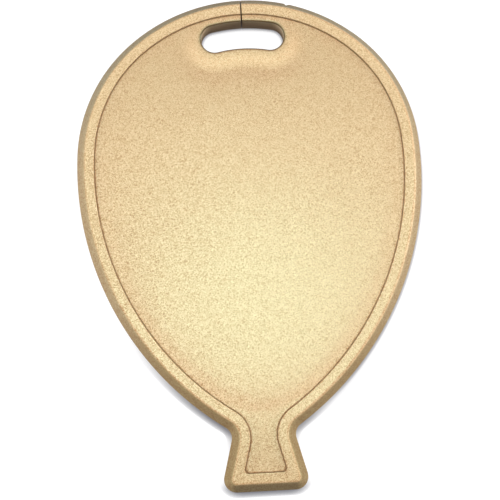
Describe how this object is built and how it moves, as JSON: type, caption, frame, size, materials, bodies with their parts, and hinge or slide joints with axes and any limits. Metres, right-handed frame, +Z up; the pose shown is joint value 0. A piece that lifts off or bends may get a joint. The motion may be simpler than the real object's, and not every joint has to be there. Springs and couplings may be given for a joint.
{
  "type": "balloon weight",
  "caption": "Flat balloon-shaped weight with a slit ribbon slot at its crown, a flat rim round a low cushioned face, and moulded halves closed over a steel ballast plate.",
  "frame": {"origin": "below the middle of the plaque's length and width, on the surface that it lies on", "axes": "lies on its back: +X to the right of the face, +Y from the tail towards the ribbon slot, +Z up out of the face"},
  "size_m": [0.0534, 0.0762, 0.005],
  "materials": {
    "gold_paint": "satin metallic gold paint on moulded plastic, with a fine sparkling grain",
    "plain_steel": "plain sheet steel, as punched"
  },
  "bodies": {
    "root": {"front_shell": "gold_paint", "back_shell": "gold_paint", "ballast_plate": "plain_steel"}
  },
  "joints": []
}
